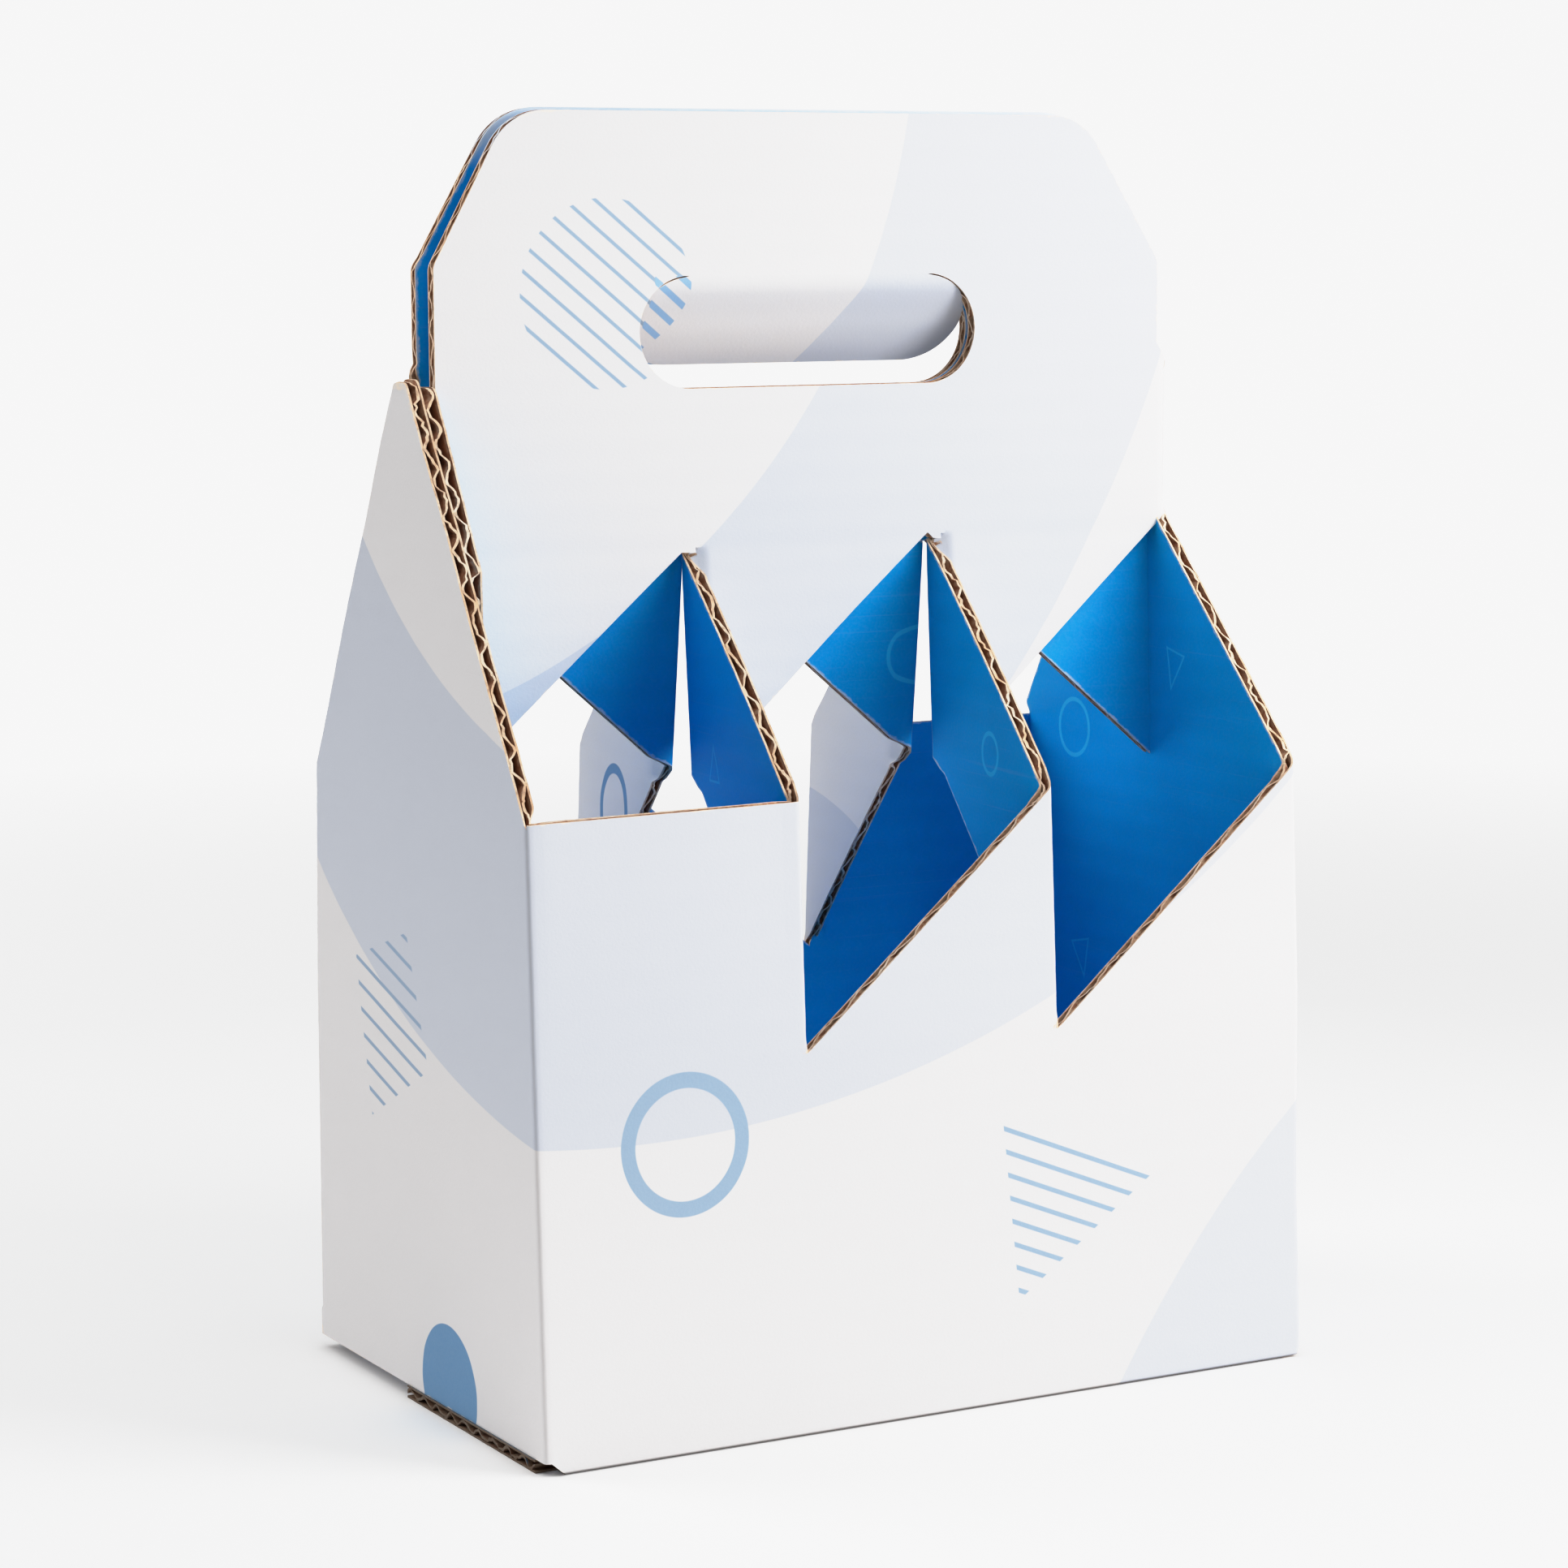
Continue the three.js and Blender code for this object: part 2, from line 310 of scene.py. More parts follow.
def overlapped(loop, amount):
    """The outline with its creased edges pushed a little over the neighbour's."""
    out = [list(c) for c in loop]
    for k, c in enumerate(loop):
        if c[2]:
            j = (k + 1) % len(loop)
            push = Vector((loop[j][1] - c[1], c[0] - loop[j][0])).normalized() * amount
            for i in (k, j):
                out[i][0] += push.x
                out[i][1] += push.y
    return out


def nearest_cut(points, cuts):
    """Distance of each point from the nearest cut, and the direction from that cut into the board."""
    best = np.full(len(points), 1e3)
    inward = np.zeros((len(points), 2))
    for a, b, side in cuts:
        a, ab = np.array(a), np.subtract(b, a)
        size = np.linalg.norm(ab)
        if size < 1e-6:
            continue
        k = np.clip((points - a) @ ab / size ** 2, 0, 1)
        d = np.linalg.norm(points - a - k[:, None] * ab, axis=1)
        nearer = d < best
        best = np.where(nearer, d, best)
        inward[nearer] = np.array((-ab[1], ab[0])) * side / size
    return best, inward


ROW = 0.8  # height of a row of cells
BESIDE_CREASE = (0, 0.5, 1.0, 1.5, 2.0, 2.5, 3.1, 3.8, 4.4, NEAR)  # columns of cells next to a crease
CLEARED = (-6.0, 7.5)  # coarse columns are left out here
APART = 0.03  # least distance of a row or column from a corner
PRESSED = 1.6  # width of the band that cutting presses in
OVERLAP = 0.05


def panel(name, outline, place, first_u, turned=False, holes=(), creases_at=(), coarse=16.0,
          crushed=((0,), (0.3,))):
    """One panel: its middle surface, cut into cells, with what the board tree reads from it.

    first_u is where the panel begins along the blank. crushed says how far the printed face is pressed in
    at a cut: places along the panel, and amounts.
    """
    corners, faces, cuts = [], [], []
    for side, loop in ((1, outline), *((-1, hole) for hole in holes)):
        loop = overlapped(loop, OVERLAP * side)
        n = len(corners)
        faces.append(list(range(n, n + len(loop))))
        corners += [Vector(c[:2]) for c in loop]
        for k, c in enumerate(loop):
            if not c[2]:
                cuts.append((c[:2], loop[(k + 1) % len(loop)][:2], side))
    s = [c.x for c in corners]
    t = [c.y for c in corners]
    low_s, high_s, low_t, high_t = min(s), max(s), min(t), max(t)
    columns = list(np.arange(low_s + coarse / 2, high_s, coarse))
    for at, side in creases_at:
        columns = [c for c in columns if not CLEARED[0] < (c - at) * side < CLEARED[1]]
    for at, side in creases_at:
        columns += [at + side * k for k in BESIDE_CREASE]
    columns = [c for c in columns if low_s < c < high_s and min(abs(c - v) for v in s) > APART]
    lines = [k * ROW for k in range(math.ceil(low_t / ROW), math.floor(high_t / ROW) + 1)]
    lines = [v for v in lines if min(abs(v - w) for w in t) > APART]
    ends = [((c, low_t - 1), (c, high_t + 1)) for c in columns]
    ends += [((low_s - 1, v), (high_s + 1, v)) for v in lines]
    edges = []
    for pair in ends:
        edges.append((len(corners), len(corners) + 1))
        corners += [Vector(p) for p in pair]
    found = delaunay_2d_cdt(corners, edges, faces, 4, 1e-6)
    flat = np.array([(p.x, p.y) for p in found[0]])
    kept = [f for f, source in zip(found[2], found[5]) if 0 in source and len(source) == 1]
    used = sorted({v for f in kept for v in f})
    index = {v: k for k, v in enumerate(used)}
    flat = flat[used]
    from_edge, inward = nearest_cut(flat, cuts)
    press = np.interp(flat[:, 0], *crushed) * np.clip(1 - from_edge / PRESSED, 0, 1) ** 2
    press = press * (flat[:, 1] > 10)  # the cuts along the bottom keep their shape
    pressed = flat + inward * press[:, None]
    printed, blue = place(pressed[:, 0], pressed[:, 1])[0], place(flat[:, 0], flat[:, 1])[1]
    if turned:
        printed, blue = printed * (-1, -1, 1), blue * (-1, -1, 1)
    printed, blue = racked(printed), racked(blue)
    mesh = bpy.data.meshes.new(name)
    mesh.from_pydata(((printed + blue) / 2 * MM).tolist(), [], [[index[v] for v in f] for f in kept])
    for key, kind, field, data in (
        ("across", "FLOAT_VECTOR", "vector", printed - blue), ("from_cut", "FLOAT", "value", from_edge),
    ):
        given = mesh.attributes.new(key, kind, "POINT")
        given.data.foreach_set(field, (data * MM).astype(np.float32).ravel())
    ids = np.zeros(len(mesh.loops), np.int32)
    mesh.loops.foreach_get("vertex_index", ids)
    layer = mesh.uv_layers.new(name="blank")
    uv = (flat + (first_u, 0))[ids] * MM
    layer.data.foreach_set("uv", uv.astype(np.float32).ravel())
    mesh.validate()
    finished(name, mesh)


def racked(p):
    """The empty box stands a little out of square, and its dividers pull the handle's folds along.

    Each shift is a size in millimetres times where on the box it is felt.
    """
    x, y, z = p[:, 0], p[:, 1], p[:, 2]
    front = np.clip((B - y) / (2 * B), 0, 1)
    rim = np.clip(z / RIM_Z, 0, 1)
    foot = 1 - rim
    pulled = np.clip((z - RIM_Z) / (APEX_Z - RIM_Z), 0, 1)
    below = 1 - ramp(pulled)
    left = ramp((-x - 25) / (A - 25)) * (front * (3.3 * foot + 0.5 * rim) + (1 - front) * 0.7 * rim)
    right = ramp((x - 40) / (A - 40)) * front ** 2 * (foot + 0.1 + 1.1 * ramp((50 - z) / 45))
    peak = -(0.4 * ramp((z - RIM_Z) / 40) + 0.6 * ramp((z - 200) / 25)) * ramp((-x - 94) / 3)
    near = np.clip(1 - (np.abs(y) - 4) / (B - 6), 0, 1) * (1 - ramp((z - APEX_Z) / 35))

    def hump(middle):
        return ramp(1 - np.abs(x - middle) / 30)

    behind = (1.2 + 1.0 * pulled) * hump(-34) + (1.0 + 0.75 * pulled) * hump(31)
    drawn = np.where(y < 0, 0.8 * pulled * hump(34), behind) * near
    out = p.copy()
    out[:, 0] += (left + right) * below + peak + drawn
    return out


# Node trees


class Term:
    """A socket in an expression: + - * / between terms and numbers add Math nodes."""

    def __init__(self, graph, socket):
        self.graph, self.socket = graph, socket

    def op(self, operation, *values, clamp=False):
        return self.graph.add("ShaderNodeMath", values, operation=operation, use_clamp=clamp)

    def __add__(self, o):
        return self.op("ADD", self, o)

    __radd__ = __add__

    def __mul__(self, o):
        return self.op("MULTIPLY", self, o)

    __rmul__ = __mul__

    def __sub__(self, o):
        return self.op("SUBTRACT", self, o)

    def __rsub__(self, o):
        return self.op("SUBTRACT", o, self)

    def __truediv__(self, o):
        return self.op("DIVIDE", self, o)

    def __abs__(self):
        return self.op("ABSOLUTE", self)

    def clamped(self):
        return self.op("ADD", self, 0.0, clamp=True)

    def sqrt(self):
        return self.op("SQRT", self)

    def low(self, o):
        return self.op("MINIMUM", self, o)

    def high(self, o):
        return self.op("MAXIMUM", self, o)

    def scaled(self, o):
        """A vector times a number."""
        return self.graph.add("ShaderNodeVectorMath", {0: self, "Scale": o}, operation="SCALE")

    def plus(self, o):
        return self.graph.add("ShaderNodeVectorMath", (self, o), operation="ADD")

    def unit(self):
        return self.graph.add("ShaderNodeVectorMath", (self,), operation="NORMALIZE")

    def parts(self):
        node = self.graph.add("ShaderNodeSeparateXYZ", (self,)).socket.node
        return [Term(self.graph, node.outputs[k]) for k in range(3)]


class Graph:
    """Adds nodes to a tree: type, then its input values or links, then its settings."""

    def __init__(self, tree):
        self.tree = tree

    def add(self, kind, inputs=(), out=0, **settings):
        node = self.tree.nodes.new(kind)
        for key, value in settings.items():
            setattr(node, key, value)
        self.fill(node, inputs)
        return None if out is None else Term(self, node.outputs[out])

    def fill(self, node, inputs):
        """Gives a node's sockets their values and links."""
        for key, value in inputs.items() if isinstance(inputs, dict) else enumerate(inputs):
            if isinstance(value, Term):
                self.tree.links.new(value.socket, node.inputs[key])
            else:
                node.inputs[key].default_value = value

    def join(self, *parts):
        joined = self.add("GeometryNodeJoinGeometry")
        for part in parts:
            self.tree.links.new(part.socket, joined.socket.node.inputs[0])
        return joined

    def mix(self, factor, first, second):
        first, second = (c if isinstance(c, Term) else rgb(c) for c in (first, second))
        return self.add(
            "ShaderNodeMix", {0: factor, 6: first, 7: second}, out=2, data_type="RGBA", clamp_factor=True
        )

    def layered(self, colour, *layers):
        """A colour under layers of (mask, colour), each over those before it."""
        for mask, over in layers:
            colour = self.mix(mask, colour, over)
        return colour

    def noise(self, vector, scale, detail=2.0, roughness=0.5):
        return self.add(
            "ShaderNodeTexNoise",
            {"Vector": vector, "Scale": scale, "Detail": detail, "Roughness": roughness},
        )

    def relief(self, height, strength, metres=0.0004):
        return self.add("ShaderNodeBump", {"Strength": strength, "Distance": metres, "Height": height})

    def millimetres(self, vector):
        """x, y and z of Object coordinates."""
        return [c * METRE for c in vector.parts()]


BOARD_SIZES = {
    "Flute pitch": (FLUTE_PITCH, "Distance between two flutes"),
    "Flute start": (FLUTE_START, "Height of the first touch of a flute on the printed face"),
    "Paper": (0.00048, "Thickness of each facing sheet"),
    "Medium": (0.00062, "Thickness of the fluted sheet"),
    "Board": (BOARD * MM, "Thickness of the whole board"),
    "Washboard": (0.00005, "How far the facings sink between the flutes"),
    "Depth shown": (0.009, "How far the fluted sheet reaches in from a cut edge"),
    "Crushing": (0.0018, "Unevenness that the cutting leaves on the flutes"),
}
MATERIALS = ("printed white facing", "blue inside facing", "kraft fluting", "cut edge")
PRINTED, BLUE, KRAFT, CUT = MATERIALS


def board_tree():
    """Two facings and the fluted sheet between them, from the middle surface of a panel."""
    tree = bpy.data.node_groups.new("Corrugated board", "GeometryNodeTree")

    def socket(name, kind, way="INPUT"):
        return tree.interface.new_socket(name, in_out=way, socket_type="NodeSocket" + kind)

    socket("Geometry", "Geometry")
    for name, (value, words) in BOARD_SIZES.items():
        s = socket(name, "Float")
        s.default_value, s.description = value, words
    for name in MATERIALS:
        socket(name, "Material")
    socket("Geometry", "Geometry", "OUTPUT")
    g = Graph(tree)
    entry = tree.nodes.new("NodeGroupInput")
    value = {s.name: Term(g, s) for s in entry.outputs if s.name}
    panel = value["Geometry"]

    board, paper, medium, kraft = (value[name] for name in ("Board", "Paper", "Medium", KRAFT))

    def attribute(name, kind):
        return g.add("GeometryNodeInputNamedAttribute", {"Name": name}, data_type=kind)

    def dressed(source, material):
        return g.add("GeometryNodeSetMaterial", {"Geometry": source, "Material": material})

    across = attribute("across", "FLOAT_VECTOR")
    normal = across.unit()
    height = attribute("blank", "FLOAT_VECTOR").parts()[1]
    where = g.add("GeometryNodeInputPosition")
    phase = (height - value["Flute start"]) / value["Flute pitch"] * (2 * math.pi)
    ragged = g.noise(where, 420.0, 3.0, 0.6)
    wave = phase.op("COSINE", phase)
    uneven = (ragged - 0.5) * (1.0 - wave * wave) * value["Crushing"] * 2.0 / board
    flat_wave = wave * (wave * wave * 0.2 + 0.8)

    def sheet(shift, thick, source, faces, flipped=False):
        """A closed sheet whose near face lies at shift times the board's thickness from the middle."""
        if flipped:
            source = g.add("GeometryNodeFlipFaces", (source,))
        toward = normal.scaled(-1.0 if flipped else 1.0)
        offset = across.scaled(shift).plus(toward.scaled(thick * -1.0))
        moved = g.add("GeometryNodeSetPosition", {"Geometry": source, "Offset": offset})
        extrude = g.add(
            "GeometryNodeExtrudeMesh",
            {"Mesh": moved, "Offset": toward, "Offset Scale": thick, "Individual": False}, mode="FACES",
        ).socket.node
        top = dressed(Term(g, extrude.outputs["Mesh"]), faces)
        top = g.add(
            "GeometryNodeStoreNamedAttribute",
            {"Geometry": top, "Name": "cut_side", "Value": Term(g, extrude.outputs["Side"])},
            data_type="BOOLEAN", domain="FACE",
        )
        under = dressed(g.add("GeometryNodeFlipFaces", (moved,)), kraft)
        return g.add("GeometryNodeMergeByDistance", {"Geometry": g.join(under, top), "Distance": 1e-7})

    sink = (1.0 - flat_wave) * 0.5 * value["Washboard"] / board
    rise = (1.0 + flat_wave) * 0.5 * value["Washboard"] / board
    printed = sheet(0.5 - sink, paper, panel, value[PRINTED])
    blue = sheet(rise - 0.5, paper, panel, value[BLUE], flipped=True)
    far = attribute("from_cut", "FLOAT")
    deep = g.add("FunctionNodeCompare", {0: far, 1: value["Depth shown"]}, operation="GREATER_THAN")
    band = g.add("GeometryNodeDeleteGeometry", {"Geometry": panel, "Selection": deep}, domain="FACE")
    room = 0.5 - (paper + medium * 0.5) / board
    crooked = flat_wave * room + uneven + medium * 0.5 / board
    torn = (g.noise(where, 650.0, 2.0, 0.5) * 3.4 - 0.7).low(1.25)
    length = g.add("ShaderNodeVectorMath", (across,), out=1, operation="LENGTH")
    squeezed = (length / board).low(1.0)  # less than 1 where a crease crushes the board
    fluted = sheet(crooked, medium * torn * squeezed * squeezed, band, kraft)
    smooth = g.add("GeometryNodeSetShadeSmooth", {"Geometry": g.join(fluted, blue, printed)})
    real = g.add("GeometryNodeRealizeInstances", (smooth,))
    done = dressed(real, value[CUT])
    g.tree.links.new(attribute("cut_side", "BOOLEAN").socket, done.socket.node.inputs["Selection"])
    g.add("NodeGroupOutput", (done,), out=None)
    return tree


def new_material(name):
    mat = bpy.data.materials.new(name)
    mat.use_nodes = True
    return Graph(mat.node_tree), mat.node_tree.nodes["Principled BSDF"]


def object_place(g):
    return g.add("ShaderNodeTexCoord", out=3)


def blank_position(g):
    """Place on the flat blank in millimetres: along the flutes, and across them."""
    u, v, _ = g.add("ShaderNodeUVMap", uv_map="blank").parts()
    return u * METRE, v * METRE


def from_cut(g):
    """Distance from the nearest cut edge in millimetres."""
    return g.add("ShaderNodeAttribute", out=2, attribute_name="from_cut") * METRE


def step_down(distance, soft=0.12):
    """1 inside and 0 outside, with an edge as soft as ink on paper."""
    return (0.5 - distance / (2 * soft)).clamped()


def from_middle(u, v, cu, cv):
    du, dv = u - cu, v - cv
    return (du * du + dv * dv).sqrt()


def disc(u, v, cu, cv, r):
    return step_down(from_middle(u, v, cu, cv) - r)


def ring(u, v, cu, cv, inner, outer):
    return step_down(abs(from_middle(u, v, cu, cv) - (inner + outer) / 2) - (outer - inner) / 2)


def stripes(u, v, cu, cv, degrees, first, spacing, half):
    """Strokes at the given angle; first is the offset of one of them from (cu, cv)."""
    a = math.radians(degrees)
    q = (u - cu) * -math.sin(a) + (v - cv) * math.cos(a)
    k = (q - first) / spacing + 0.5
    return step_down(abs(k.op("FRACT", k) - 0.5) * spacing - half)


def polygon(u, v, corners):
    """Inside of a convex outline given anticlockwise."""
    deepest = None
    for (x0, y0), (x1, y1) in zip(corners, corners[1:] + corners[:1]):
        n = math.hypot(x1 - x0, y1 - y0)
        d = (u - x0) * ((y1 - y0) / n) + (v - y0) * (-(x1 - x0) / n)
        deepest = d if deepest is None else deepest.high(d)
    return step_down(deepest)


def rgb(colour):
    return (*colour, 1.0)


def shade(colour, k):
    return [c * k for c in colour]


# The print, in millimetres on the flat blank. A ring is its middle and its inner and outer radius.
LARGE_RINGS = ((-73.8, 323.6, 168.2, 251.8), (270.0, -120.0, 168.0, 250.0), (528.0, 420.0, 168.0, 252.0))
SMALL_RING = (-63.6, 70.6, 12.7, 16.3)
DARK_RING = (62.5, 130.7, 9.0, 11.5)
DARK_SPOT = (-149.9, 8.1, 14.7)
HANDLE_SPOT = (13.2, 255.4, 21.7)
END_PATCH = [(-198.8, 100.9), (-190.6, 64.0), (-157.3, 80.5), (-168.6, 110.8)]
WALL_PATCH = [(18.9, 66.2), (23.4, 24.2), (58.9, 49.6)]
REPEAT_U = -223.8  # from here the small shapes are printed, and repeat on the other half of the blank


def printed_paper(look):
    g, shader = new_material(PRINTED)
    u, v = blank_position(g)
    field = ring(u, v, *LARGE_RINGS[0])
    for large in LARGE_RINGS[1:]:
        field = field.high(ring(u, v, *large))
    w = (u - REPEAT_U) / HALF_ROUND
    m = u - w.op("FLOOR", w) * HALF_ROUND
    in_slot = g.add("ShaderNodeMath", (abs(v - SLOT[1]), SLOT[3] / 2), operation="LESS_THAN")
    on_tongue = in_slot * step_down(abs(m - (PITCH + SLOT[0])) - SLOT[2] / 2 + 4)
    bold = 0.44 + 0.32 * on_tongue
    handle = disc(m, v, *HANDLE_SPOT) * stripes(m, v, *HANDLE_SPOT[:2], -39.0, 0.48, 4.75, bold)
    left = polygon(m, v, END_PATCH) * stripes(m, v, 0.0, 0.0, -15.9, 53.43, 5.49, 0.50)
    wall = polygon(m, v, WALL_PATCH) * stripes(m, v, 0.0, 0.0, -22.2, 67.6, 4.88, 0.58)
    lines = handle.high(left).high(wall)
    paper = object_place(g)
    cloud = g.noise(paper, 55.0, 3.0)
    grain = g.noise(paper, 1400.0, 3.0, 0.6)
    frayed = g.noise(paper, 420.0, 3.0, 0.6)
    worn = step_down(from_cut(g) - (frayed - 0.5).clamped() * 1.6, 0.1)
    z = g.millimetres(paper)[2]
    colour = g.layered(
        look.paper, (field, look.pale), (lines.high(ring(m, v, *SMALL_RING)), look.ring),
        (on_tongue * lines, look.stripe), (disc(m, v, *DARK_SPOT).high(ring(m, v, *DARK_RING)), look.spot),
        (cloud * 0.05, (0.55, 0.56, 0.58)), ((grain - 0.35).clamped() * 0.14, (0.60, 0.60, 0.61)),
        # painted shade: the print darkens below 0.65 mm, as the contact shadow along the bottom fold
        (worn * 0.6, look.cut_light), (step_down(z - 0.65, 0.3) * 0.85, look.bottom_shade),
    )
    g.fill(shader, {
        "Base Color": colour, "Roughness": cloud * 0.10 + 0.50, "Specular IOR Level": 0.35,
        "Normal": g.relief(grain, 0.10),
    })


# Thin shapes on the inside. A circle is its middle and radius, a triangle its middle, size and turn.
CIRCLES = (
    (64.5, 148.0, 4.8), (197.2, 143.1, 7.2), (-40.0, 120.0, 7.0), (480.0, 60.0, 8.0), (90.0, 40.0, 7.0),
)
TRIANGLES = (
    (150.0, 162.0, 4.6, 12), (191.6, 83.7, 4.6, -12), (19.0, 148.0, 4.0, 180), (330.0, 60.0, 5.0, 0),
    (-120.0, 60.0, 5.0, 180),
)


def blue_paper(look):
    g, shader = new_material(BLUE)
    u, v = blank_position(g)
    thin = 0.55
    lines = ring(u, v, 358.1, 168.0, 6.7, 7.7)
    for cu, cv, r in CIRCLES:
        lines = lines.high(ring(u, v, cu, cv, r - thin, r + thin))
    for cu, cv, size, degrees in TRIANGLES:
        a = math.radians(degrees)
        p, q = (u - cu), (v - cv)
        x, y = p * math.cos(a) + q * math.sin(a), q * math.cos(a) - p * math.sin(a)
        tip = (abs(x) * 0.92 - y * 0.39 - size * 0.40).high(y - size)
        lines = lines.high(step_down(abs(tip) - thin / 2))
    paper = object_place(g)
    cloud = g.noise(paper, 38.0, 3.0)
    grain = g.noise(paper, 1500.0, 3.0, 0.6)
    along = g.add("ShaderNodeCombineXYZ", (u * 0.012, v * 0.9, 0.0))
    streak = g.noise(along, 1.0, 3.0, 0.6)
    wave = (v - FLUTE_START / MM) * (2 * math.pi * MM / FLUTE_PITCH)
    flute = wave.op("COSINE", wave) * 0.5 + 0.5
    frayed = g.noise(paper, 420.0, 3.0, 0.6)
    worn = step_down(from_cut(g) - 0.2 - (frayed - 0.4).clamped() * 1.6, 0.2)
    x, _, z = g.millimetres(paper)
    colour = g.layered(
        look.deep, (cloud * 0.75 + 0.1, look.blue), (flute * 0.16, look.deep),
        (((streak - 0.60) * 2.2).clamped() * 0.35, look.scuff), (lines * 0.6, look.line),
        ((grain - 0.4).clamped() * 0.22, look.scuff), (worn * 0.85, look.worn),
        # painted shade at the bottom of the left end, and a painted highlight on the handle's rim
        (shade_at_bottom(x, z) * 0.8, look.bottom_shade), (rim_highlight(x, z) * 0.85, look.rim_highlight),
    )
    g.fill(shader, {
        "Base Color": colour, "Roughness": cloud * 0.12 + 0.32, "Specular IOR Level": 0.1,
        "Normal": g.relief(grain, 0.12),
    })


def shade_at_bottom(x, z):
    """Painted shade on the cuts at the bottom of the left end, which lie in shadow."""
    return step_down(z - 4.2, 0.5) * step_down(x + 60, 5.0)


def rim_highlight(x, z):
    """Painted highlight on the rim of the handle, where it is lit from above."""
    return step_down((267.0 - x * 0.25).high(278.0) - z, 4.0)


CORNER_INK = (-98.4, 1.7, 0.8)  # blue in a flute at the front left corner: x, z and radius


def kraft_paper(look):
    g, shader = new_material(KRAFT)
    paper = object_place(g)
    fibre = g.noise(paper, 900.0, 4.0, 0.65)
    torn = g.noise(paper, 620.0, 3.0, 0.55)
    near = (2.2 - from_cut(g) / 0.8).clamped() * ((torn - 0.42) * 8.0).clamped()
    x, y, z = g.millimetres(paper)
    ink = step_down(from_middle(x, z, *CORNER_INK[:2]) - CORNER_INK[2], 0.2) * step_down(y + 50)
    colour = g.layered(
        shade(look.kraft, 0.6), (fibre, shade(look.kraft, 1.3)), (near * 0.85, shade(look.cut, 0.75)),
        # painted shade at the bottom of the left end
        (ink, look.deep), (shade_at_bottom(x, z) * 0.6, look.bottom_shade),
    )
    g.fill(shader, {
        "Base Color": colour, "Roughness": fibre * 0.1 + 0.8, "Normal": g.relief(fibre, 0.3, 0.0003),
    })


def cut_edge(look):
    g, shader = new_material(CUT)
    paper = object_place(g)
    fibre = g.noise(paper, 700.0, 3.0, 0.6)
    patch = g.noise(paper, 160.0, 2.0)
    x, _, z = g.millimetres(paper)
    colour = g.layered(
        look.cut, ((patch * 2.4 - 0.8).clamped(), look.cut_light),
        (((fibre - 0.50) * 3.4).clamped() * 0.8, shade(look.cut, 0.42)),
        # painted shade at the bottom of the left end, and a painted highlight on the handle's rim
        (shade_at_bottom(x, z) * (0.98 - fibre * 0.3), look.bottom_shade), (rim_highlight(x, z) * 0.85, look.rim_highlight),
    )
    g.fill(shader, {"Base Color": colour, "Roughness": fibre * 0.1 + 0.8})


# The pieces


SHARP_FROM = math.radians(38)


def finished(name, mesh):
    """A panel's middle surface made into corrugated board, as a plain mesh."""
    board = bpy.context.scene.carrier_board
    held = bpy.data.objects.new(name + ".held", mesh)
    bpy.context.collection.objects.link(held)
    tree = bpy.data.node_groups.get("Corrugated board") or board_tree()
    mod = held.modifiers.new("board", "NODES")
    mod.node_group = tree
    sockets = {s.name: s.identifier for s in tree.interface.items_tree if s.in_out == "INPUT"}
    for key in CarrierBoard.__annotations__:
        mod[sockets[board.bl_rna.properties[key].name]] = getattr(board, key)
    for material in MATERIALS:
        mod[sockets[material]] = bpy.data.materials[material]
    graph = bpy.context.evaluated_depsgraph_get()
    made = bpy.data.meshes.new_from_object(held.evaluated_get(graph), depsgraph=graph)
    held.modifiers.clear()
    bpy.data.objects.remove(held)
    made.name = name
    for spare in ("across", "cut_side"):
        if spare in made.attributes:
            made.attributes.remove(made.attributes[spare])
    made.set_sharp_from_angle(angle=SHARP_FROM)
    piece = bpy.data.objects.new(name, made)
    bpy.context.collection.objects.link(piece)
    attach(piece, "root")
    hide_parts("carton")


def long_wall(side, name):
    w1, w2 = side["folds"]
    end = A if not side["turned"] else A - BOARD  # its lower corner there is worn round
    outline = rounded([
        (-A, BASE_GAP), (-A + 1.5, BASE_GAP), (-A + RELIEF_X, 0.0, 0, True), (end - 2.5, 0.0),
        (end - 0.7, 0.6), (end, 2.4, 0, True), (end, RIM_Z), (w2, NOTCH_Z - 0.7, 0, True), (w2, RIM_Z - 1),
        (w1, NOTCH_Z, 0, True), (w1, RIM_Z), (-A, RIM_Z, 0, True),
    ])
    place = standing(
        lambda s, z: np.column_stack([s, wall_y(side, s, z)]), (1, 0),
        [
            Crease(-A, (0, -1), 1, radius=SHARP),
            Crease(w1, strap_direction(side, 0), -1, low=NOTCH_Z, radius=1.0),
            Crease(w2, strap_direction(side, 1), -1, low=NOTCH_Z, radius=1.0),
            Crease(end, (0, 1), -1, radius=SHARP),
        ],
        foot=True,
    )
    c = 0.3 if side["turned"] else 0.1  # pressed in along the slanting cuts, and not at the folds
    panel(
        name, outline, place, side["blank"], side["turned"],
        creases_at=((-A, 1), (w1, -1), (w2, -1), (end, -1)),
        crushed=((w1 - 4, w1, w1 + 4, w2 - 4, w2, w2 + 4, end - 4, end), (c, 0, c, c, 0, c, c, 0)),
    )


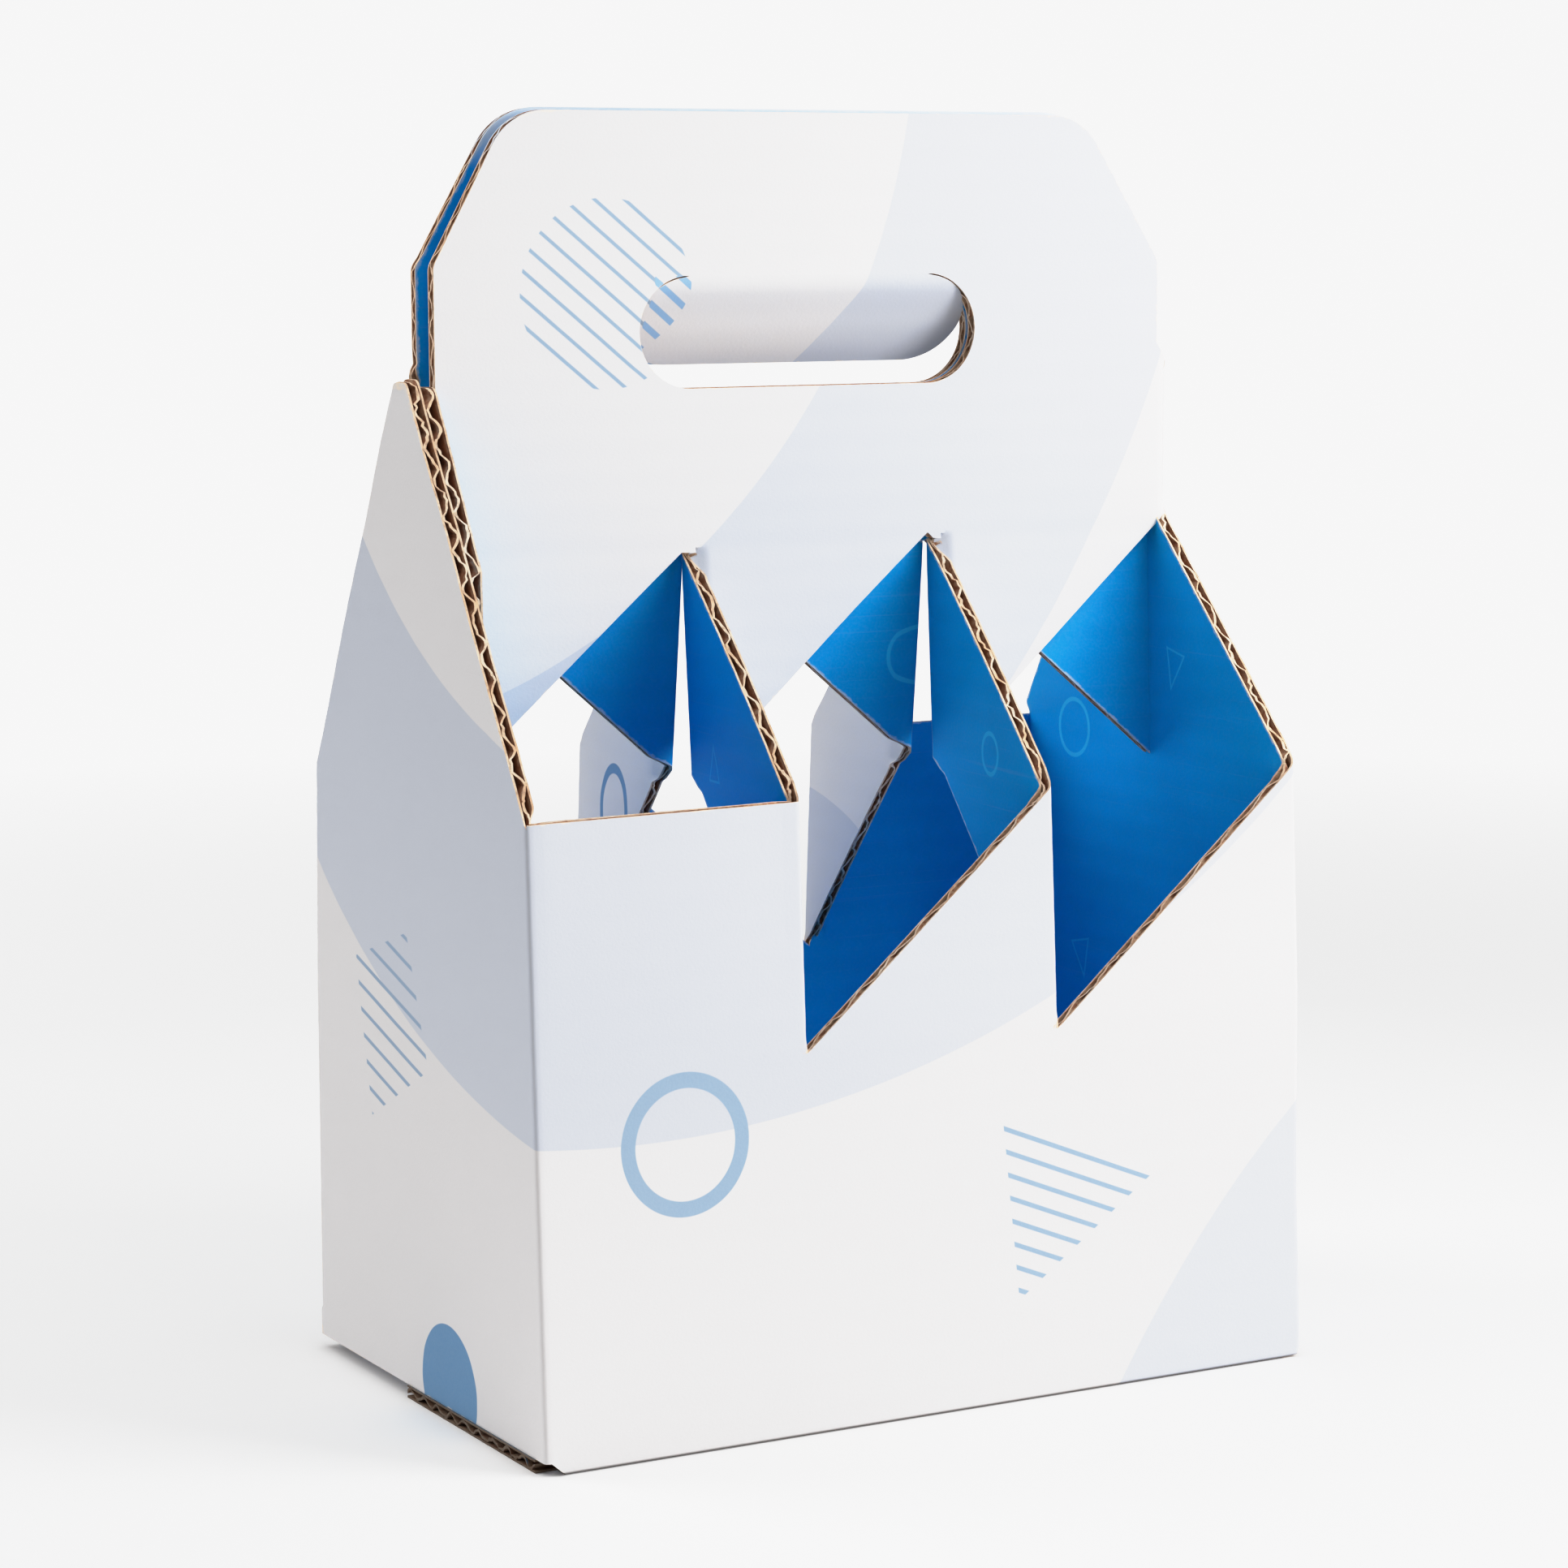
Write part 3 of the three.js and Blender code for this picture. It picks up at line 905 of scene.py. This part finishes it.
def end_panel(name, left):
    width = 2 * B
    way = -1 if left else 1  # towards the front or the back
    lean0, lean1 = (BACK["lean"][2], FRONT["lean"][0]) if left else (FRONT["lean"][2], BACK["lean"][0])

    def edges_y(k):
        return -way * (B - lean0 * k), way * (B - lean1 * k)

    def base(s, z):
        start, stop = edges_y(lift(z))
        return np.column_stack([np.full(len(s), way * A), start + (stop - start) * s / width])

    def at(y):
        start, stop = edges_y(1)
        return (y - start) / (stop - start) * width

    creases = [Crease(width, (-way, 0), -1, high=RIM_Z + PAST_RIM, radius=SHARP)]
    marks = [(width, -1)]
    outline = [
        (0, BASE_GAP), (width, BASE_GAP, 0, True), (width, RIM_Z), (at(way * PEAK_HALF), PEAK_Z, PEAK_ROUND),
    ]
    if left:
        outline += [(at(PEAK_HALF), PEAK_Z, PEAK_ROUND), (0, RIM_Z)]
    else:
        middle = at(-OUTER_Y)
        outline += [(middle, PEAK_Z, 0, True), (middle, CUTS[2]), (0, RIM_Z, 0, True)]
        creases = [
            Crease(0, (1, 0), 1, high=RIM_Z + PAST_RIM, radius=SHARP), *creases,
            Crease(middle, (1, 0), 1, low=CUTS[2], high=PEAK_Z + PAST_PEAK),
        ]
        marks = [(0, 1), *marks, (middle, 1)]
    place = standing(base, (0, way), creases)
    panel(
        name, rounded(outline), place, -A - width if left else A, creases_at=marks,
        crushed=((0,), (0.8,)) if left else ((0, 4), (0, -0.5)),
    )


def glue_lap(name):
    lean = BACK["lean"][2]
    width = B + LAP_REACH
    middle = B - OUTER_Y
    top = BACK["end_top"]
    outline = rounded([
        (0, BASE_GAP), (width, BASE_GAP), (width, LAP_SHOULDER_Z), (B + PEAK_HALF, top, PEAK_ROUND),
        (middle, top, 0, True), (middle, CUTS[2]), (0, RIM_Z, 0, True),
    ])
    place = standing(
        lambda s, z: np.column_stack([
            np.full(len(s), A - BOARD), -B + lean * lift(z) * (1 - np.clip(s / B, 0, 1)) + s]),
        (0, 1),
        [
            Crease(0, (1, 0), 1, high=RIM_Z + PAST_RIM),
            Crease(middle, (1, 0), 1, low=CUTS[2], high=top + PAST_PEAK),
        ],
    )
    panel(name, outline, place, HALF_ROUND + A, True, creases_at=((0, 1), (middle, 1)))


def strap(side, i, name):
    x0 = side["folds"][i]

    def base(s, z):
        start, end = strap_ends(side, i, z)
        return start + (end - start) * (s / PITCH)[:, None]

    def scale(z):
        start, end = strap_ends(side, i, z)
        return np.linalg.norm(end - start, axis=1) / PITCH

    place = standing(
        base, strap_direction(side, i),
        [
            Crease(0, (1, 0), 1, low=NOTCH_Z, high=RIM_Z + PAST_RIM, radius=1.0),
            divider_top(PITCH, (1, 0), -1, CUTS[i]),
        ],
        scale=scale,
    )
    outline = rounded([
        (0, NOTCH_Z - 0.7 * i), (PITCH, RIM_Z, 0, True), (PITCH, CUTS[i] + CUT_STEPS[i]),
        (PITCH - 6, CUT_BENDS[i]), (0, RIM_Z - i, 0, True),
    ])
    panel(
        name, outline, place, x0 + side["blank"], side["turned"],
        creases_at=((0, 1), (PITCH, -1)), crushed=((0, 4, PITCH - 5, PITCH), (0, -0.85, -0.85, 0.9)),
    )


def handle_layer(side, name):
    f1, f2 = LAYER_FOLDS
    g1, g2 = f1 + BOARD, f2 + BOARD  # where the dividers leave the layer
    low = A - BOARD - (0.0 if side["turned"] else 0.4)
    fold_x, edge_x, top, end_top = (side[key] for key in ("fold_x", "edge_x", "top", "end_top"))
    outline = rounded([
        (-low, LAYER_FOOT_Z - side["drop"]), (f1 - 1, CUTS[0] + 0.2), (g1, CUTS[0], 0, True),
        (g1, RIM_Z + 0.8), (f2 - 1, CUTS[1] + 1.6), (f2 + 0.5, CUTS[1] + 0.2), (g2, CUTS[1], 0, True),
        (g2, RIM_Z + 0.4), (fold_x, CUTS[2] + 1.4, 0, True), (fold_x, end_top), (edge_x, end_top + 5),
        (edge_x, SHOULDER_Z, SHOULDER_ROUND), (CHAMFER_TOP_X, top, CHAMFER_ROUND),
        (-CHAMFER_TOP_X, top, CHAMFER_ROUND), (-FREE_X, SHOULDER_Z, SHOULDER_ROUND), (-FREE_X, PEAK_Z - 8),
        (-low, APEX_Z + 8, 0, side["turned"]),
    ])

    def base(s, z):
        y = -OUTER_Y - swing(side, s, z)
        if side["turned"]:  # this layer's folded edge stands off the other one
            y = y - 2.6 * ramp((s - 30) / 65) * ramp((z - 225) / 20)
        return np.column_stack([s, y])

    place = standing(
        base, (1, 0),
        [
            divider_top(g1, strap_direction(side, 0), 1, CUTS[0], reach=3.0),
            divider_top(g2, strap_direction(side, 1), 1, CUTS[1], reach=3.0),
            Crease(fold_x, (0, 1), -1, low=CUTS[2], high=PEAK_Z + PAST_PEAK),
        ],
    )
    panel(
        name, outline, place, PITCH + side["blank"], side["turned"],
        holes=(stadium(side["slot_x"], *SLOT[1:]),),
        creases_at=((g1, 1), (g1, -1), (g2, 1), (g2, -1), (fold_x, -1)), crushed=((0,), (0.12,)),
    )


def tongue(side, name):
    gap = 2 * SLOT_MARGIN
    outline = [
        (s, SLOT_TOP if t > SLOT_TOP - SLOT_MARGIN - 0.01 else t, creased)
        for s, t, creased in stadium(side["slot_x"], SLOT[1], SLOT[2] - gap, SLOT[3] - gap)
    ]
    sign = -1 if side["turned"] else 1
    shorter = BOARD * math.tan(TONGUE_ANGLE / 2)
    hinge = 2.5 - (shorter if side["turned"] else 0)

    def place(s, t):
        n = len(s)
        d = SLOT_TOP - t - hinge
        if side["turned"]:  # creased towards its printed face, which buckles
            d = d - 2 * shorter * ramp((d - hinge) / 6)
        p, q = bend(
            d, same((-OUTER_Y, SLOT_TOP - hinge), n), same((0, -1), n),
            same((sign * math.sin(TONGUE_ANGLE), -math.cos(TONGUE_ANGLE)), n), 2.4, hinge, 0.0,
        )
        return np.column_stack([s, p]), np.column_stack([s, q])

    panel(
        name, outline, place, PITCH + side["blank"], side["turned"], coarse=5.0, crushed=((0,), (0,)))


def bottom_flap(side, name):
    inset_left, inset_right, past = side["flap"]
    left, right = -A + inset_left, A - inset_right
    relief = -A + RELIEF_X
    outline = rounded([
        (relief, 0.0), (relief, -RELIEF_DEPTH), (left, -RELIEF_DEPTH), (left, -B - past), (right, -B - past),
        (right, -3.0), (A - 5.6, 0.0, 0, True),
    ])

    def place(s, t):
        n = len(s)
        p, q = bend(-t, same((-B, 0), n), same((0, -1), n), same((1, 0), n), SHARP)
        return np.column_stack([s, p]), np.column_stack([s, q])

    panel(name, outline, place, side["blank"], side["turned"], coarse=24.0)


# The add-on


def number_property(name, words, value, unit="NONE"):
    return bpy.props.FloatProperty(name=name, description=words, default=value, unit=unit)


def size_property(name):
    value, words = BOARD_SIZES[name]
    return number_property(name, words, value, "LENGTH")


def colour_property(name, words, value):
    return bpy.props.FloatVectorProperty(
        name=name, description=words, default=value, size=3, min=0, max=1, subtype="COLOR")


class CarrierBoard(bpy.types.PropertyGroup):
    # Each one sets the board tree's input of the same name.
    thickness: size_property("Board")
    flute_pitch: size_property("Flute pitch")
    paper: size_property("Paper")
    medium: size_property("Medium")
    washboard: size_property("Washboard")
    crushing: size_property("Crushing")


class CarrierPrint(bpy.types.PropertyGroup):
    paper: colour_property("Paper", "White of the outside", (0.745, 0.728, 0.728))
    pale: colour_property("Pale field", "The large pale blue rings", (0.59, 0.613, 0.672))
    ring: colour_property("Ring", "Small ring and striped shapes", (0.315, 0.42, 0.55))
    stripe: colour_property("Stripe", "Strokes on the tongue", (0.30, 0.48, 0.70))
    spot: colour_property("Spot", "Filled circle near the bottom", (0.13, 0.30, 0.50))
    blue: colour_property("Inside", "Blue of the inside", (0.0, 0.48, 0.94))
    deep: colour_property("Inside shade", "Darker blue of the inside", (0.0, 0.35, 0.76))
    scuff: colour_property("Scuff", "Faint wear on the blue", (0.30, 0.50, 0.82))
    line: colour_property("Line", "Thin shapes on the blue", (0.05, 0.70, 1.0))
    worn: colour_property("Worn blue", "Blue side along the cuts, where the ink is gone", (0.62, 0.72, 0.84))
    # painted highlight: the handle's rim, lit from above
    rim_highlight: colour_property("Rim highlight", "Rim of the handle", (0.72, 0.79, 0.88))
    kraft: colour_property("Kraft", "Inside of the flutes", (0.40, 0.18, 0.095))
    cut: colour_property("Cut edge", "Cut edge of the sheets", (0.74, 0.50, 0.33))
    cut_light: colour_property("Light cut edge", "Lighter places of the cut", (0.93, 0.78, 0.62))
    # painted shade: the contact shadow along the bottom fold, and the shadowed cuts at the bottom of the
    # left end
    bottom_shade: colour_property("Bottom shade", "Cuts and crease along the bottom", (0.03, 0.017, 0.009))


class CarrierStage(bpy.types.PropertyGroup):
    floor: colour_property("Floor", "Colour of the floor", (0.98, 0.98, 0.98))
    key: number_property("Key light", "Light from the front right", 10.6, "POWER")
    near: number_property("Near light", "Small light near the handle", 1.2, "POWER")
    top: number_property("Top light", "Light from above", 11.5, "POWER")
    side: number_property("Side light", "Light from the back left", 9.5, "POWER")
    fill: number_property("Fill light", "Light from the front left", 1.0, "POWER")
    sky: number_property("Surround", "Light from the white surround", 0.03)
    backdrop: number_property("Backdrop", "White seen behind the box", 1.2)


class PieceOperator:
    bl_options = {"REGISTER", "UNDO"}


class CARRIER_OT_finishes(PieceOperator, bpy.types.Operator):
    """Make the printed, blue, kraft and cut finishes of the board"""

    bl_idname = "carrier.finishes"
    bl_label = "Finishes"

    def execute(self, context):
        for make in (printed_paper, blue_paper, kraft_paper, cut_edge):
            make(context.scene.carrier_print)
        return {"FINISHED"}


class CARRIER_OT_walls(PieceOperator, bpy.types.Operator):
    """Fold the two long walls with their cut-outs"""

    bl_idname = "carrier.walls"
    bl_label = "Long walls"

    def execute(self, context):
        long_wall(FRONT, "front_wall")
        long_wall(BACK, "back_wall")
        return {"FINISHED"}


class CARRIER_OT_ends(PieceOperator, bpy.types.Operator):
    """Fold the two end panels and the glue lap"""

    bl_idname = "carrier.ends"
    bl_label = "End panels"

    def execute(self, context):
        end_panel("left_end", left=True)
        end_panel("right_end", left=False)
        glue_lap("glue_lap")
        return {"FINISHED"}


class CARRIER_OT_straps(PieceOperator, bpy.types.Operator):
    """Fold the four dividers between the walls and the handle"""

    bl_idname = "carrier.straps"
    bl_label = "Dividers"

    def execute(self, context):
        for side, place in ((FRONT, "front"), (BACK, "back")):
            for i in (0, 1):
                strap(side, i, f"{place}_divider_{i + 1}")
        return {"FINISHED"}


class CARRIER_OT_handle(PieceOperator, bpy.types.Operator):
    """Make the two layers of the handle and the tongues of its hand slot"""

    bl_idname = "carrier.handle"
    bl_label = "Handle"

    def execute(self, context):
        for side, place in ((FRONT, "front"), (BACK, "back")):
            handle_layer(side, f"{place}_handle")
            tongue(side, f"{place}_tongue")
        return {"FINISHED"}


class CARRIER_OT_bottom(PieceOperator, bpy.types.Operator):
    """Fold the two bottom flaps"""

    bl_idname = "carrier.bottom"
    bl_label = "Bottom flaps"

    def execute(self, context):
        bottom_flap(FRONT, "front_flap")
        bottom_flap(BACK, "back_flap")
        return {"FINISHED"}


LAMPS = {  # place and size in metres
    "key": ((0.90, -0.90, 0.38), 0.6),
    "near": ((0.25, -0.30, 0.45), 0.3),
    "top": ((0.0, 0.0, 1.3), 1.6),
    "side": ((-0.95, 0.75, 0.75), 0.8),
    "fill": ((-0.70, -1.20, 0.40), 0.7),
}


class CARRIER_OT_stage(PieceOperator, bpy.types.Operator):
    """Set up the floor, the lights and the camera"""

    bl_idname = "carrier.stage"
    bl_label = "Stage"

    def execute(self, context):
        scene = context.scene
        look = scene.carrier_stage
        mesh = bpy.data.meshes.new("floor")
        mesh.from_pydata([(-6, -6, 0), (6, -6, 0), (6, 6, 0), (-6, 6, 0)], [], [(0, 1, 2, 3)])
        floor = bpy.data.objects.new("floor", mesh)
        scene.collection.objects.link(floor)
        floor_paper(look)
        mesh.materials.append(bpy.data.materials[FLOOR])
        floor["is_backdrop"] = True
        surround(scene, look)
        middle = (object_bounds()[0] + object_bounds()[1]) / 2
        for name, (where, size) in LAMPS.items():
            data = bpy.data.lights.new(name + "_light", "AREA")
            data.shape, data.size, data.energy = "SQUARE", size, getattr(look, name)
            lamp = bpy.data.objects.new(name + "_light", data)
            scene.collection.objects.link(lamp)
            lamp.location = where
            lamp.visible_camera = False
            lamp.rotation_mode = "QUATERNION"
            lamp.rotation_quaternion = (middle - Vector(where)).to_track_quat("-Z", "Y")
        camera_at(scene)
        scene.view_settings.view_transform = "Standard"
        highlights(scene.view_settings)
        return {"FINISHED"}


FLOOR = "floor paper"
FLOOR_RADIUS = 1.15


def floor_paper(look):
    """Pale paper that fades into the surround away from the box."""
    g, shader = new_material(FLOOR)
    place = object_place(g)
    x, y, _ = place.parts()
    cloud = g.noise(place, 3.0, 2.0)
    g.fill(shader, {
        "Base Color": g.mix(cloud * 0.3, look.floor, shade(look.floor, 0.985)),
        "Roughness": 0.9, "Specular IOR Level": 0.1,
        "Emission Color": rgb(look.floor), "Emission Strength": 0.05,
        "Alpha": ((FLOOR_RADIUS - from_middle(x, y, 0.0, 0.0)) * 1.5).clamped(),
    })


def surround(scene, look):
    """Even white round the object: brighter where the camera sees it than as a light."""
    world = bpy.data.worlds.new("surround")
    scene.world = world
    world.use_nodes = True
    world.node_tree.nodes.clear()
    g = Graph(world.node_tree)
    lit = g.add("ShaderNodeBackground", (rgb((1, 1, 1)), look.sky))
    seen = g.add("ShaderNodeBackground", (rgb((1, 1, 1)), look.backdrop))
    both = g.add("ShaderNodeMixShader", (g.add("ShaderNodeLightPath"), lit, seen))
    g.add("ShaderNodeOutputWorld", (both,), out=None)


BRIGHTEST = 1.5  # light at the end of the tone curve
TONES = ((0.2, 0.175), (0.4, 0.385), (0.6, 0.635), (0.8, 0.82), (0.95, 0.875), (1.13, 0.913), (1.3, 0.935))
TOP_TONE = 0.95


def highlights(view):
    """A soft shoulder, as the photograph has, so pale print stays faint on brightly lit board."""
    view.use_curve_mapping = True
    curves = view.curve_mapping
    curves.white_level = (BRIGHTEST, BRIGHTEST, BRIGHTEST)
    curve = curves.curves[3]
    for light, tone in TONES:
        curve.points.new(light / BRIGHTEST, tone)
    curve.points[-1].location = (1.0, TOP_TONE)
    curves.update()


CAMERA_ANGLES = (-28.066, 7.807, 0.266)  # azimuth, elevation and roll in degrees
CAMERA_PLACE = (-0.44978, -0.83445, 0.26898)
FOCAL_PIXELS = 4953.6
PHOTO_PIXELS = 1932
SENSOR = 36.0


def camera_at(scene):
    """The camera of the photograph, solved from the edges of the box."""
    a, e, r = (math.radians(v) for v in CAMERA_ANGLES)
    back = Vector((math.sin(a) * math.cos(e), -math.cos(a) * math.cos(e), math.sin(e)))
    right = (-back).cross(Vector((0, 0, 1))).normalized()
    down = (-back).cross(right)
    right, down = math.cos(r) * right + math.sin(r) * down, math.cos(r) * down - math.sin(r) * right
    data = bpy.data.cameras.new("camera")
    data.sensor_width = SENSOR
    data.lens = FOCAL_PIXELS / PHOTO_PIXELS * SENSOR
    data.clip_start, data.clip_end = 0.01, 30.0
    camera = bpy.data.objects.new("camera", data)
    scene.collection.objects.link(camera)
    turn = Matrix((right, -down, back)).transposed().to_4x4()
    camera.matrix_world = Matrix.Translation(CAMERA_PLACE) @ turn
    scene.camera = camera


class CARRIER_PT_panel(bpy.types.Panel):
    bl_label = "Bottle Carrier"
    bl_idname = "CARRIER_PT_panel"
    bl_space_type = "VIEW_3D"
    bl_region_type = "UI"
    bl_category = "Carrier"

    def draw(self, context):
        for name, group in GROUPS.items():
            box = self.layout.box()
            for key in group.__annotations__:
                box.prop(getattr(context.scene, name), key)
        for op in OPERATORS:
            self.layout.operator(op.bl_idname)


OPERATORS = (
    CARRIER_OT_finishes, CARRIER_OT_walls, CARRIER_OT_ends, CARRIER_OT_straps, CARRIER_OT_handle,
    CARRIER_OT_bottom, CARRIER_OT_stage,
)
GROUPS = {"carrier_board": CarrierBoard, "carrier_print": CarrierPrint, "carrier_stage": CarrierStage}
CLASSES = (*GROUPS.values(), *OPERATORS, CARRIER_PT_panel)


def register():
    for cls in CLASSES:
        bpy.utils.register_class(cls)
    for name, group in GROUPS.items():
        setattr(bpy.types.Scene, name, bpy.props.PointerProperty(type=group))


def unregister():
    for name in GROUPS:
        delattr(bpy.types.Scene, name)
    for cls in reversed(CLASSES):
        bpy.utils.unregister_class(cls)


def main():
    register()
    bpy.ops.carrier.finishes()
    bpy.ops.carrier.walls()
    bpy.ops.carrier.ends()
    bpy.ops.carrier.straps()
    bpy.ops.carrier.handle()
    bpy.ops.carrier.bottom()
    bpy.ops.carrier.stage()


if __name__ == "__main__":
    main()
